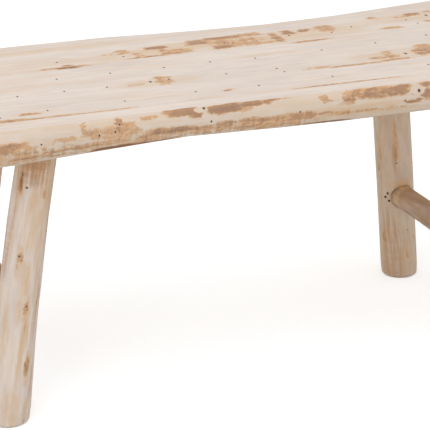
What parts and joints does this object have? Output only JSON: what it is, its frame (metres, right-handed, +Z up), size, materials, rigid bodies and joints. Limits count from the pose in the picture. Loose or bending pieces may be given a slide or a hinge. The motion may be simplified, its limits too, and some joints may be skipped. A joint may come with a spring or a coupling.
{
  "type": "rustic log bench",
  "caption": "Long low bench with a planed seat of peeled poles, splayed round pole legs and a pole stretcher between the legs at each end.",
  "frame": {"origin": "on the floor, under the middle of the bench's outline", "axes": "+X along the bench, +Y towards its back, +Z up"},
  "size_m": [1, 0.4293, 0.45],
  "materials": {
    "seat_wood": "planed on top, peeled on its natural faces, unfinished",
    "leg_wood": "peeled, unfinished",
    "stretcher_wood": "peeled, unfinished",
    "tongue_wood": "sawn",
    "brad_steel": "dulled"
  },
  "bodies": {
    "root": {"seat_pole_front": "seat_wood", "seat_pole_second": "seat_wood", "seat_pole_centre": "seat_wood", "seat_pole_fourth": "seat_wood", "seat_pole_back": "seat_wood", "leg_front_left": "leg_wood", "leg_front_right": "leg_wood", "leg_rear_left": "leg_wood", "leg_rear_right": "leg_wood", "stretcher_left": "stretcher_wood", "stretcher_right": "stretcher_wood", "seam_tongues": "tongue_wood", "stretcher_brads": "brad_steel"}
  },
  "joints": []
}
